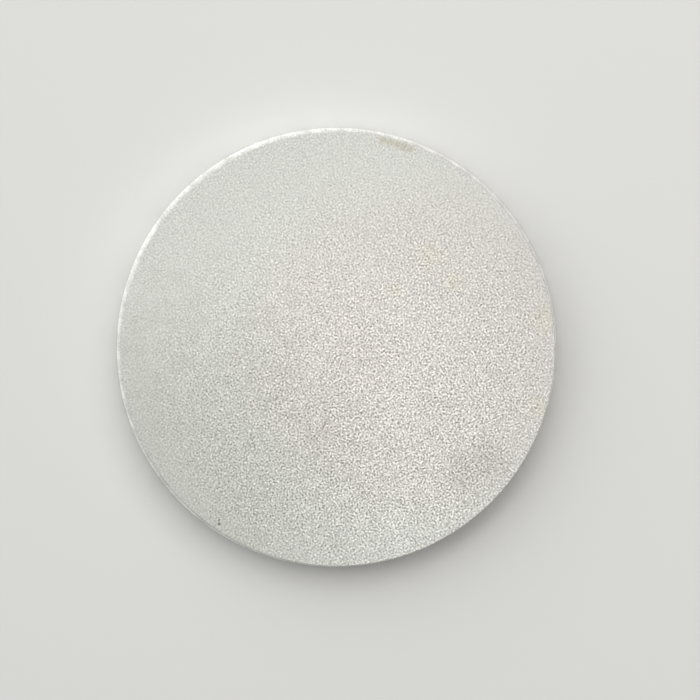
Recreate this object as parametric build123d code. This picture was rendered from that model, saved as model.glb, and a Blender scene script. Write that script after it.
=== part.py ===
from build123d import *
import os

# A coin-style golf ball marker: one solid metal disc, punched from sheet. As a punch leaves it, the rim is
# straight near the underside and tapers in above that to a slightly smaller upper face with a crisp edge.
# It has no second piece, no moving part and no hole.
# Millimetres, +Z up. The origin is the centre of the underside, the face that lies on the green.

DIAMETER = 25.4  # 1 in, a common size of flat ball marker
THICKNESS = 2.0
LAND_TOP = 0.7  # height at which the straight part of the rim ends and the taper begins
TAPER = 0.14  # how much smaller the upper face is than the rim, in radius
LOWER_RADIUS = 0.15  # the rolled edge on the side that the sheet was pressed into the die
UPPER_RADIUS = 0.04  # the deburred edge on the side that the punch cut


def marker_disc():
    """The disc: a straight-walled land with a slightly tapered wall above it and both edges eased."""
    radius = DIAMETER / 2
    upward = (Align.CENTER, Align.CENTER, Align.MIN)
    land = Cylinder(radius=radius, height=LAND_TOP, align=upward)
    taper = Cone(
        bottom_radius=radius,
        top_radius=radius - TAPER,
        height=THICKNESS - LAND_TOP,
        align=upward,
    )
    blank = land + Pos(0, 0, LAND_TOP) * taper
    circles = blank.edges().filter_by(GeomType.CIRCLE).sort_by(Axis.Z)
    blank = fillet(circles[-1], radius=UPPER_RADIUS)
    circles = blank.edges().filter_by(GeomType.CIRCLE).sort_by(Axis.Z)
    return fillet(circles[0], radius=LOWER_RADIUS)


os.makedirs("parts", exist_ok=True)
export_step(marker_disc(), "parts/marker_disc.step")
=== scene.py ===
import math

import bmesh
import bpy
from mathutils import Matrix, Vector, noise


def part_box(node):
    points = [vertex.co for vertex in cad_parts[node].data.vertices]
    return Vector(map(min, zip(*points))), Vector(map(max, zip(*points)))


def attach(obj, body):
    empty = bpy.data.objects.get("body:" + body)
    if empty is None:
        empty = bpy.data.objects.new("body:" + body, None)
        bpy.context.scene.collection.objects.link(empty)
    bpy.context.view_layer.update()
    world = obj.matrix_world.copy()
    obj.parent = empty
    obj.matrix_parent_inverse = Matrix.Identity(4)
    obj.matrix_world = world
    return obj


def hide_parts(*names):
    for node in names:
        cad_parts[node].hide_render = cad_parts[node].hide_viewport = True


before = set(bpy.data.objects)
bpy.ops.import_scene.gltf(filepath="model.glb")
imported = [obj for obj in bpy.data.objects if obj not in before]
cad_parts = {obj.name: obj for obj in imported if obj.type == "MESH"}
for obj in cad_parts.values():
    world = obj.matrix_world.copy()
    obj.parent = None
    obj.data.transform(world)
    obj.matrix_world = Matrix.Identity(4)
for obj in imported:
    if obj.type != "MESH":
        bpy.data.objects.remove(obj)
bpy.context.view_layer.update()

# A coin-style golf ball marker: one bead-blasted steel disc, lying on a pale floor in soft studio light.
# Lengths are in metres, in the CAD model's frame: +Z up, the origin at the centre of the underside.

MM = 0.001
LOW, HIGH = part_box("marker_disc")
RADIUS = min(HIGH.x, HIGH.y, -LOW.x, -LOW.y)
THICKNESS = HIGH.z - LOW.z

LAND_TOP = 0.7 * MM  # height at which the rim's straight part ends and its taper begins
TAPER = 0.14 * MM  # how much smaller the upper face is than the rim, in radius
LOWER_RADIUS = 0.15 * MM  # the rolled edge under the rim
UPPER_RADIUS = 0.04 * MM  # the deburred edge of the upper face
SHEAR_SWING = 0.012 * MM  # how unevenly the punch tore the taper, round the rim
SHEAR_PACE = 2.5  # how quickly that changes round the rim
FACE_CELLS = 160  # cells along each side of a face's grid, whose border is the rim's ring of points
ARC_STEPS = 6
WALL_STEPS = 8
LAND_STEPS = 4
RIPPLE = 0.003 * MM  # depth of the faces' faint unevenness
RIPPLE_SIZE = 3 * MM
HOLD = 0.015 * MM  # how close a face's last ring stands to its border, which keeps the face flat to it

# The blasted grain.
DIMPLE_PITCH = 0.19 * MM  # from one blasted dimple to the next
WAVES = 1.3  # waves of dimples in each cell of the pattern
LUMP = 0.10 * MM  # size of the uneven lumps between the dimples
DIMPLE_SHARE = 0.55  # how much of the grain is dimples, where the rest is lumps
GRAIN_TURN = (0.7, 1.1, 0.4)  # turns the lumps off the axes, so that no rows show in them
GRAIN_CONTRAST = 2.3  # how far the pattern's values, which lie close to their middle, are spread out
GRAIN_GLINT_TOWARDS = (0.58, -0.81, 0)  # the direction in which the grain grows stronger: deeper bumps, and painted glints in its colour
GRAIN_GLINT_GAIN = 0.55  # how much stronger at the rim on that side, where the centre's strength is 1
GRAIN_LOSSES = ((2, 0.38), (12, 0.45))  # (power, loss): the depth lost towards the rim, and close to it
GRAIN_LEAST = 0.38  # the least depth anywhere

# The marks that the upper face carries, as (x, y) places on it.
NICK = Vector((-0.80, -4.48)) * MM
NICK_LENGTH = 0.58 * MM
NICK_WIDTH = 0.08 * MM
NICK_LEAN = math.radians(65)  # from +X
NICK_DEPTH = 0.025 * MM
PITS = (Vector((-6.85, -9.86)) * MM, Vector((-6.86, -10.09)) * MM)
PIT_WIDTH = 0.11 * MM
PIT_DEPTH = 0.03 * MM
MARK_REACH = 0.45 * MM  # the mesh is finer within this distance of a mark

# Its stains, smudges, rubbed spots and dirt, and a painted shade, as (x, y, size) in millimetres.
YELLOWED = (
    (5.35, 5.4, 1.15),
    (6.7, 3.95, 0.8),
    (3.3, 3.4, 0.7),
    (12.0, 1.7, 1.2),
    (11.7, -3.4, 0.9),
)
TANNED = (
    (2.6, 12.05, 0.30),
    (3.0, 11.95, 0.36),
    (3.4, 11.83, 0.36),
    (3.8, 11.70, 0.42),
    (4.2, 11.55, 0.32),
)
DULLED = ((8.7, -6.5, 1.8), (7.5, -6.9, 1.7))
RUBBED = ((3.2, -10.1, 1.1), (6.3, -9.4, 1.4), (4.5, -8.2, 0.8))
PAINTED_SHADE = ((-9.0, -7.5, 14.5),)  # painted shade: a broad, faint darkening of one side, wide enough to reach the underside
PIT_GRIME = ((-6.88, -9.40, 0.06), (-6.85, -9.86, 0.09), (-6.86, -10.09, 0.13))  # a spot and the two pits
NICK_GRIME = 0.07  # size of each spot of dirt along the nick
NICK_SPOTS = 7
STAIN_WANDER = 0.9 * MM  # size of the lumps in the stains' uneven edges
STAIN_SWING = 0.8  # how far those edges wander, as a share of the stain's size

# The steel's colours, in pairs: a dimple's floor and its crest, or a dull streak and a bright one.
COOL_STEEL = (0.40, 0.401, 0.382, 1), (0.94, 0.943, 0.902, 1)
# painted warm light: the same steel's colours where warmer light is painted on it
WARM_LIT_STEEL = (0.40, 0.388, 0.370, 1), (0.94, 0.912, 0.879, 1)
TORN_WALL = (0.60, 0.596, 0.575, 1), (0.88, 0.875, 0.85, 1)
RUBBED_WALL = (0.74, 0.736, 0.712, 1), (0.97, 0.965, 0.94, 1)
HAZE = (0.80, 0.80, 0.77, 1)  # evens out the grain's colours a little, in broad patches
HAZE_SIZE = 5 * MM
HAZE_SHARE = 0.08
EDGE_PAINTED_SHADE = (0.94, 0.94, 0.94, 1)  # painted shade: what the steel's colour is multiplied by at a face's edge, which darkens the faces towards it
WARM_LIGHT_MIDDLE = (4.5 * MM, -0.2 * MM, THICKNESS)  # painted warm light: the steel's colour is a little warmer round here
WARM_LIGHT_REACH = 9.5 * MM
WARM_LIGHT_FADE = 3 * MM
WARM_LIGHT_LUMP = 2.2 * MM  # size of the lumps in the painted warm light's uneven edge

# The wall's streaks, and how rough and bumpy the steel is.
FINE_STREAK = 0.10 * MM
BROAD_STREAK = 0.8 * MM
DULL_STREAK, BRIGHT_STREAK = 0.7, 1.3  # the streaks' values where the wall is dullest and brightest
RUB_SWING = 0.5 * MM  # how unevenly the torn part of the wall gives way to the rubbed part
DIMPLE_ROUGHNESS = 0.84  # in the floor of a dimple
CREST_POLISH = 0.10  # how much less rough its crest is
WALL_ROUGHNESS = 0.97
BUMP_HEIGHT = 0.012 * MM
STREAK_BUMP = 0.25  # height of the wall's streaks, as a share of the grain's
GRIT = 0.03 * MM  # size of the finest bumps
GRIT_BUMP = 0.15


# ---- the disc's mesh ----


def on_disc(u, v):
    """Takes a point of the square from -1 to 1 to the unit disc, with even steps along each ring."""
    if u == 0 and v == 0:
        return 0.0, 0.0
    if abs(u) >= abs(v):
        ring, angle = u, math.pi / 4 * v / u
    else:
        ring, angle = v, math.pi / 2 - math.pi / 4 * u / v
    return ring * math.cos(angle), ring * math.sin(angle)


def taper_at(angle):
    """How much the upper face falls short of the rim's radius at an angle, since a punch tears unevenly."""
    wave = noise.noise(Vector((math.cos(angle), math.sin(angle), 0.3)) * SHEAR_PACE)
    return TAPER + SHEAR_SWING * wave


def ripple(x, y, side):
    """How far a face lies below its ideal plane at a point."""
    place = Vector((x, y, side * RIPPLE_SIZE)) / RIPPLE_SIZE
    return RIPPLE * (0.5 + 0.5 * noise.noise(place))


def face_reach(angle, side):
    """The flat face's radius at an angle. The taper takes up the rest above, and the rolled edge below."""
    return RADIUS - (taper_at(angle) + UPPER_RADIUS if side > 0 else LOWER_RADIUS)


def face_grid(mesh, level, side):
    """One flat face as a grid bent to a disc. Returns its vertices by grid place."""
    grid = {}
    for i in range(FACE_CELLS + 1):
        for j in range(FACE_CELLS + 1):
            x, y = on_disc(2 * i / FACE_CELLS - 1, 2 * j / FACE_CELLS - 1)
            reach = face_reach(math.atan2(y, x), side)
            if max(abs(2 * i - FACE_CELLS), abs(2 * j - FACE_CELLS)) == FACE_CELLS - 2:
                reach = (reach - HOLD) * FACE_CELLS / (FACE_CELLS - 2)
            x, y = x * reach, y * reach
            grid[i, j] = mesh.verts.new((x, y, level - side * ripple(x, y, side)))
    for i in range(FACE_CELLS):
        for j in range(FACE_CELLS):
            corners = [grid[i, j], grid[i + 1, j], grid[i + 1, j + 1], grid[i, j + 1]]
            mesh.faces.new(corners if side > 0 else corners[::-1])
    return grid


def border(grid):
    """The grid's outermost vertices, anticlockwise from -45 degrees."""
    n = FACE_CELLS
    right = [grid[n, j] for j in range(n)]
    top = [grid[n - i, n] for i in range(n)]
    left = [grid[0, n - j] for j in range(n)]
    bottom = [grid[i, 0] for i in range(n)]
    return right + top + left + bottom


def quarter_turn(radius):
    """(inset, drop) of points round a rounded edge, from its flat face to its wall."""
    turns = [math.pi / 2 * step / ARC_STEPS for step in range(1, ARC_STEPS + 1)]
    return [(radius * (1 - math.sin(turn)), radius * (1 - math.cos(turn))) for turn in turns]


def rim_profile(angle):
    """(radius, height) of the rim's points between the two faces, from the top down."""
    short = taper_at(angle)
    taper_top = THICKNESS - UPPER_RADIUS
    points = [(RADIUS - short - inset, THICKNESS - drop) for inset, drop in quarter_turn(UPPER_RADIUS)]
    for step in range(1, WALL_STEPS + 1):
        share = step / WALL_STEPS
        points.append((RADIUS - short * (1 - share), taper_top + (LAND_TOP - taper_top) * share))
    for step in range(1, LAND_STEPS):
        points.append((RADIUS, LAND_TOP + (LOWER_RADIUS - LAND_TOP) * step / LAND_STEPS))
    points += [(RADIUS - inset, drop) for inset, drop in reversed(quarter_turn(LOWER_RADIUS)[:-1])]
    return points


def rim_band(mesh, upper, lower):
    """Joins the two faces' borders with the rounded edges and the wall between them."""
    columns = []
    for above, below in zip(upper, lower):
        angle = math.atan2(above.co.y, above.co.x)
        column = [above]
        for reach, height in rim_profile(angle):
            column.append(mesh.verts.new((reach * math.cos(angle), reach * math.sin(angle), height)))
        columns.append(column + [below])
    for here, after in zip(columns, columns[1:] + columns[:1]):
        for step in range(len(here) - 1):
            mesh.faces.new([here[step], here[step + 1], after[step + 1], after[step]])


def refine_round_marks(mesh):
    """Makes the upper face's mesh four times finer near its marks."""
    places = [NICK, *PITS]
    near = set()
    for edge in mesh.edges:
        middle = (edge.verts[0].co + edge.verts[1].co) / 2
        if middle.z > THICKNESS / 2 and any((middle.xy - place).length < MARK_REACH for place in places):
            near.add(edge)
    bmesh.ops.subdivide_edges(mesh, edges=list(near), cuts=3, use_grid_fill=True)


def mark_depth(place):
    """How deep the nick and the pits are at a point of the upper face."""
    along = Vector((math.cos(NICK_LEAN), math.sin(NICK_LEAN)))
    off = place - NICK
    down_nick = off.dot(along) / (NICK_LENGTH / 2)
    over_nick = off.cross(along) / (NICK_WIDTH / 2)
    depth = NICK_DEPTH * math.exp(-(down_nick**4) - over_nick**2)
    for pit in PITS:
        depth += PIT_DEPTH * math.exp(-(((place - pit).length / (PIT_WIDTH / 2)) ** 2))
    return depth


def press_marks(mesh):
    """Presses the nick and the pits into the upper face."""
    for vertex in mesh.verts:
        if vertex.co.z > THICKNESS / 2:
            vertex.co.z -= mark_depth(vertex.co.xy)


def marker_disc():
    """The whole marker as one closed mesh."""
    mesh = bmesh.new()
    upper = face_grid(mesh, THICKNESS, 1)
    lower = face_grid(mesh, 0, -1)
    rim_band(mesh, border(upper), border(lower))
    refine_round_marks(mesh)
    press_marks(mesh)
    bmesh.ops.recalc_face_normals(mesh, faces=mesh.faces)
    for face in mesh.faces:
        face.smooth = True
    data = bpy.data.meshes.new("marker_disc_blasted")
    mesh.to_mesh(data)
    mesh.free()
    piece = bpy.data.objects.new("marker_disc_blasted", data)
    bpy.context.scene.collection.objects.link(piece)
    return piece


# ---- the blasted steel ----


def put(tree, kind, sockets=None, **settings):
    """Adds a node. A value goes into its socket, and another node's output is linked to it."""
    made = tree.nodes.new(kind)
    for name, value in settings.items():
        setattr(made, name, value)
    for name, value in (sockets or {}).items():
        if isinstance(value, bpy.types.NodeSocket):
            tree.links.new(value, made.inputs[name])
        else:
            made.inputs[name].default_value = value
    return made


def maths(tree, operation, *values):
    """A Math node's result."""
    return put(tree, "ShaderNodeMath", dict(enumerate(values)), operation=operation).outputs[0]


def between(tree, value, low, high, new_low=0.0, new_high=1.0):
    """The value's range from low to high, eased into the range from new_low to new_high."""
    sockets = {"Value": value, "From Min": low, "From Max": high, "To Min": new_low, "To Max": new_high}
    return put(tree, "ShaderNodeMapRange", sockets, interpolation_type="SMOOTHSTEP").outputs[0]


def cloud(tree, place, size, detail=2.0, seed=0.0):
    """Noise from 0 to 1 whose lumps are about that size."""
    sockets = {"Vector": place, "W": seed, "Scale": 1 / size, "Detail": detail}
    return put(tree, "ShaderNodeTexNoise", sockets, noise_dimensions="4D").outputs["Fac"]


def tint(tree, share, under, over, blend="MIX"):
    """A colour laid over another by a share from 0 to 1, mixed with it or multiplied by it."""
    sockets = {0: share, 6: under, 7: over}
    return put(tree, "ShaderNodeMix", sockets, data_type="RGBA", blend_type=blend).outputs[2]


def distance_from(tree, place, centre):
    """How far a point is from a fixed one."""
    return put(tree, "ShaderNodeVectorMath", {0: place, 1: centre}, operation="DISTANCE").outputs["Value"]


def patches(tree, place, spots):
    """Soft-edged, uneven patches on the upper face, as a share from 0 to 1."""
    wander = put(tree, "ShaderNodeTexNoise", {"Vector": place, "Scale": 1 / STAIN_WANDER, "Detail": 3.0})
    centring = {0: wander.outputs["Color"], 1: (0.5, 0.5, 0.5)}
    shift = put(tree, "ShaderNodeVectorMath", centring, operation="SUBTRACT")
    share = 0.0
    for x, y, size in spots:
        swing = {0: shift.outputs[0], 1: (STAIN_SWING * size * MM,) * 3, 2: place}
        moved = put(tree, "ShaderNodeVectorMath", swing, operation="MULTIPLY_ADD").outputs[0]
        far = distance_from(tree, moved, (x * MM, y * MM, THICKNESS))
        share = maths(tree, "MAXIMUM", share, between(tree, far, 0.2 * size * MM, size * MM, 1.0, 0.0))
    return share


def nick_grime():
    """The dirt in the nick, as a row of spots along it."""
    steps = [(step / (NICK_SPOTS - 1) - 0.5) * NICK_LENGTH for step in range(NICK_SPOTS)]
    along = Vector((math.cos(NICK_LEAN), math.sin(NICK_LEAN)))
    return [(*((NICK + step * along) / MM), NICK_GRIME) for step in steps]


def stains_and_painted_shade(tree, place, steel):
    """The steel's colour through the upper face's stains, smudges, rubbed spots and dirt, and a painted
    shade on one side. Each only filters it, so the grain shows.
    """
    for spots, filter_colour in (
        (YELLOWED, (1.0, 0.998, 0.95, 1)),
        (TANNED, (0.89, 0.855, 0.80, 1)),
        (DULLED, (0.91, 0.907, 0.905, 1)),
        (RUBBED, (1.02, 1.02, 1.02, 1)),
        # painted shade on one side, among the real stains, wear and dirt
        (PAINTED_SHADE, (0.88, 0.88, 0.87, 1)),
        (nick_grime(), (0.74, 0.69, 0.66, 1)),
        (PIT_GRIME, (0.40, 0.37, 0.35, 1)),
    ):
        steel = tint(tree, patches(tree, place, spots), steel, filter_colour, "MULTIPLY")
    return steel


def warm_light_share(tree, place):
    """Where painted warm light tints the steel warmer, as a share from 0 to 1 with a wandering edge."""
    wander = maths(tree, "MULTIPLY", cloud(tree, place, WARM_LIGHT_LUMP, 1.0, 6.0), WARM_LIGHT_FADE)
    far = maths(tree, "ADD", distance_from(tree, place, WARM_LIGHT_MIDDLE), wander)
    return between(tree, far, WARM_LIGHT_REACH, WARM_LIGHT_REACH + WARM_LIGHT_FADE, 1.0, 0.0)


def grain_depth(tree, place, reach):
    """How strong the grain is, 1 at the centre, more towards +X and -Y and less near the rim. Its rise
    towards +X and -Y deepens the bumps and paints glints into the colour.
    """
    # painted glints: the grain's colour grows more contrasting towards +X and -Y
    across = put(tree, "ShaderNodeVectorMath", {0: place, 1: GRAIN_GLINT_TOWARDS}, operation="DOT_PRODUCT")
    depth = maths(tree, "MULTIPLY_ADD", across.outputs["Value"], GRAIN_GLINT_GAIN / RADIUS, 1.0)
    outward = maths(tree, "DIVIDE", reach, RADIUS)
    for power, loss in GRAIN_LOSSES:
        depth = maths(tree, "MULTIPLY_ADD", maths(tree, "POWER", outward, power), -loss, depth)
    return maths(tree, "MAXIMUM", depth, GRAIN_LEAST)


def grain_share(tree, place, depth):
    """The grain, from about 0 in a dimple's floor to about 1 on a crest, and flatter where it is weak."""
    scale = 1 / (WAVES * DIMPLE_PITCH)
    waves = {"Vector": place, "Scale": scale, "Frequency": WAVES, "Anisotropy": 0.0}
    dimples = put(tree, "ShaderNodeTexGabor", waves).outputs["Value"]
    turned = put(tree, "ShaderNodeMapping", {"Vector": place, "Rotation": GRAIN_TURN}).outputs[0]
    lumps = cloud(tree, turned, LUMP, 0.0, 1.0)
    dimples = maths(tree, "MULTIPLY", dimples, DIMPLE_SHARE)
    lumps = maths(tree, "MULTIPLY", lumps, 1 - DIMPLE_SHARE)
    mixed = maths(tree, "ADD", dimples, lumps)
    centred = maths(tree, "MULTIPLY_ADD", mixed, GRAIN_CONTRAST, -GRAIN_CONTRAST / 2)
    return maths(tree, "MULTIPLY_ADD", centred, depth, 0.5)


def face_colour(tree, place, reach, grain):
    """The faces' colour: grained steel, cool or tinted by painted warm light, under haze, stains, a painted
    shade on one side, and painted shade towards the edge.
    """
    cool = tint(tree, grain, *COOL_STEEL)
    warm_lit = tint(tree, grain, *WARM_LIT_STEEL)
    # painted warm light in the middle and to the right
    steel = tint(tree, warm_light_share(tree, place), cool, warm_lit)
    haze = between(tree, cloud(tree, place, HAZE_SIZE, 3.0, 2.0), 0.35, 0.65)
    steel = tint(tree, maths(tree, "MULTIPLY", haze, HAZE_SHARE), steel, HAZE)
    steel = stains_and_painted_shade(tree, place, steel)
    outward = maths(tree, "DIVIDE", reach, RADIUS)
    # painted shade: the faces grow darker towards their edge
    return tint(tree, maths(tree, "POWER", outward, 2.0), steel, EDGE_PAINTED_SHADE, "MULTIPLY")


def wall_streaks(tree, flat):
    """Streaks as values about 1. They run straight down the wall, since the place has no height in it."""
    fine = cloud(tree, flat, FINE_STREAK, 2.0, 7.0)
    broad = cloud(tree, flat, BROAD_STREAK, 1.0, 8.0)
    return maths(tree, "ADD", fine, broad)


def wall_colour(tree, height, streaks):
    """The wall's colour: dull where the metal tore, bright where the die rubbed it, and streaked."""
    uneven = maths(tree, "MULTIPLY_ADD", streaks, RUB_SWING, -RUB_SWING)
    level = maths(tree, "ADD", height, uneven)
    rubbed = between(tree, level, THICKNESS - UPPER_RADIUS, LAND_TOP)
    streak = between(tree, streaks, DULL_STREAK, BRIGHT_STREAK)
    return tint(tree, rubbed, tint(tree, streak, *TORN_WALL), tint(tree, streak, *RUBBED_WALL))


def steel_bump(tree, place, rim, grain, streaks):
    """The bumps of the faces' grain and the wall's streaks, with fine grit on both."""
    on_wall = maths(tree, "MULTIPLY", streaks, STREAK_BUMP)
    height = put(tree, "ShaderNodeMix", {0: rim, 2: grain, 3: on_wall}).outputs[0]
    height = maths(tree, "MULTIPLY_ADD", cloud(tree, place, GRIT, 2.0, 9.0), GRIT_BUMP, height)
    sockets = {"Height": height, "Distance": BUMP_HEIGHT, "Strength": 1.0}
    return put(tree, "ShaderNodeBump", sockets).outputs[0]


def blasted_steel():
    """Steel with a fine, dimpled blasted grain on its faces and a streaked, punched wall round its rim."""
    material = bpy.data.materials.new("blasted_steel")
    material.use_nodes = True
    tree = material.node_tree
    tree.nodes.clear()
    place = put(tree, "ShaderNodeTexCoord").outputs["Object"]
    parts = put(tree, "ShaderNodeSeparateXYZ", {0: place})
    across = {"X": parts.outputs["X"], "Y": parts.outputs["Y"]}
    flat = put(tree, "ShaderNodeCombineXYZ", across).outputs[0]
    reach = put(tree, "ShaderNodeVectorMath", {0: flat}, operation="LENGTH").outputs["Value"]
    rim = between(tree, reach, RADIUS - TAPER - UPPER_RADIUS, RADIUS - TAPER + UPPER_RADIUS)

    grain = grain_share(tree, place, grain_depth(tree, place, reach))
    streaks = wall_streaks(tree, flat)
    on_face = face_colour(tree, place, reach, grain)
    colour = tint(tree, rim, on_face, wall_colour(tree, parts.outputs["Z"], streaks))
    rough = maths(tree, "MULTIPLY_ADD", grain, -CREST_POLISH, DIMPLE_ROUGHNESS)
    rough = put(tree, "ShaderNodeMix", {0: rim, 2: rough, 3: WALL_ROUGHNESS}).outputs[0]
    bump = steel_bump(tree, place, rim, grain, streaks)

    sockets = {"Base Color": colour, "Metallic": 1.0, "Roughness": rough, "Normal": bump}
    shader = put(tree, "ShaderNodeBsdfPrincipled", sockets)
    put(tree, "ShaderNodeOutputMaterial", {"Surface": shader.outputs[0]})
    return material


# ---- the stage ----


def pale_floor():
    """A plain pale floor, much wider than the marker."""
    half = 0.9
    drop = 0.01 * MM
    mesh = bpy.data.meshes.new("floor")
    corners = [(x * half, y * half, -drop) for x, y in ((-1, -1), (1, -1), (1, 1), (-1, 1))]
    mesh.from_pydata(corners, [], [(0, 1, 2, 3)])
    floor = bpy.data.objects.new("floor", mesh)
    bpy.context.scene.collection.objects.link(floor)
    material = bpy.data.materials.new("floor")
    material.use_nodes = True
    shader = material.node_tree.nodes["Principled BSDF"]
    shader.inputs["Base Color"].default_value = (0.55, 0.546, 0.535, 1)
    shader.inputs["Roughness"].default_value = 0.9
    mesh.materials.append(material)


def softbox(name, azimuth, elevation, distance, size, glow, colour):
    """A studio light aimed at the marker. Azimuth is from +X, and glow is the brightness of its surface."""
    a, e = math.radians(azimuth), math.radians(elevation)
    towards = Vector((math.cos(e) * math.cos(a), math.cos(e) * math.sin(a), math.sin(e)))
    light = bpy.data.lights.new(name, "AREA")
    light.shape = "RECTANGLE"
    light.size, light.size_y = size
    light.energy = glow * math.pi * light.size * light.size_y
    light.color = colour
    lamp = bpy.data.objects.new(name, light)
    lamp.location = towards * distance
    lamp.rotation_mode = "QUATERNION"
    lamp.rotation_quaternion = (-towards).to_track_quat("-Z", "Y")
    bpy.context.scene.collection.objects.link(lamp)


def studio():
    """Soft light: a box overhead, a wide dim one like a window, which lights the rim, and a dim room."""
    softbox(
        "overhead",
        azimuth=36,
        elevation=70,
        distance=0.17,
        size=(0.20, 0.20),
        glow=1.72,
        colour=(1.0, 0.99, 0.97),
    )
    softbox(
        "window",
        azimuth=132,
        elevation=38,
        distance=0.42,
        size=(0.95, 0.60),
        glow=2.0,
        colour=(0.98, 1.0, 0.99),
    )
    world = bpy.data.worlds.new("room")
    world.use_nodes = True
    background = world.node_tree.nodes["Background"]
    background.inputs["Color"].default_value = (1, 1, 1, 1)
    background.inputs["Strength"].default_value = 0.20
    bpy.context.scene.world = world


def camera():
    """A long lens high above the marker, leaning a little to the upper left, with +X to the right."""
    lens = 800.0
    sensor = 36.0
    view_width = 40.4 * MM
    lean = math.radians(4.7)
    lean_towards = math.radians(130)  # from +X
    aim = Vector((0.70 * MM, -0.05 * MM, THICKNESS))  # a little to the right of the marker's middle
    distance = view_width * lens / sensor
    back = Vector((
        math.sin(lean) * math.cos(lean_towards),
        math.sin(lean) * math.sin(lean_towards),
        math.cos(lean),
    ))
    right = Vector((0, 1, 0)).cross(back).normalized()
    up = back.cross(right)
    data = bpy.data.cameras.new("camera")
    data.lens = lens
    data.sensor_width = sensor
    data.clip_start = 0.01
    data.clip_end = 5
    taker = bpy.data.objects.new("camera", data)
    turn = Matrix((right, up, back)).transposed()
    taker.matrix_world = Matrix.Translation(aim + back * distance) @ turn.to_4x4()
    bpy.context.scene.collection.objects.link(taker)
    bpy.context.scene.camera = taker


disc = marker_disc()
disc.data.materials.append(blasted_steel())
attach(disc, "root")
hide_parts("marker_disc")

pale_floor()
studio()
camera()
bpy.context.scene.view_settings.view_transform = "Standard"
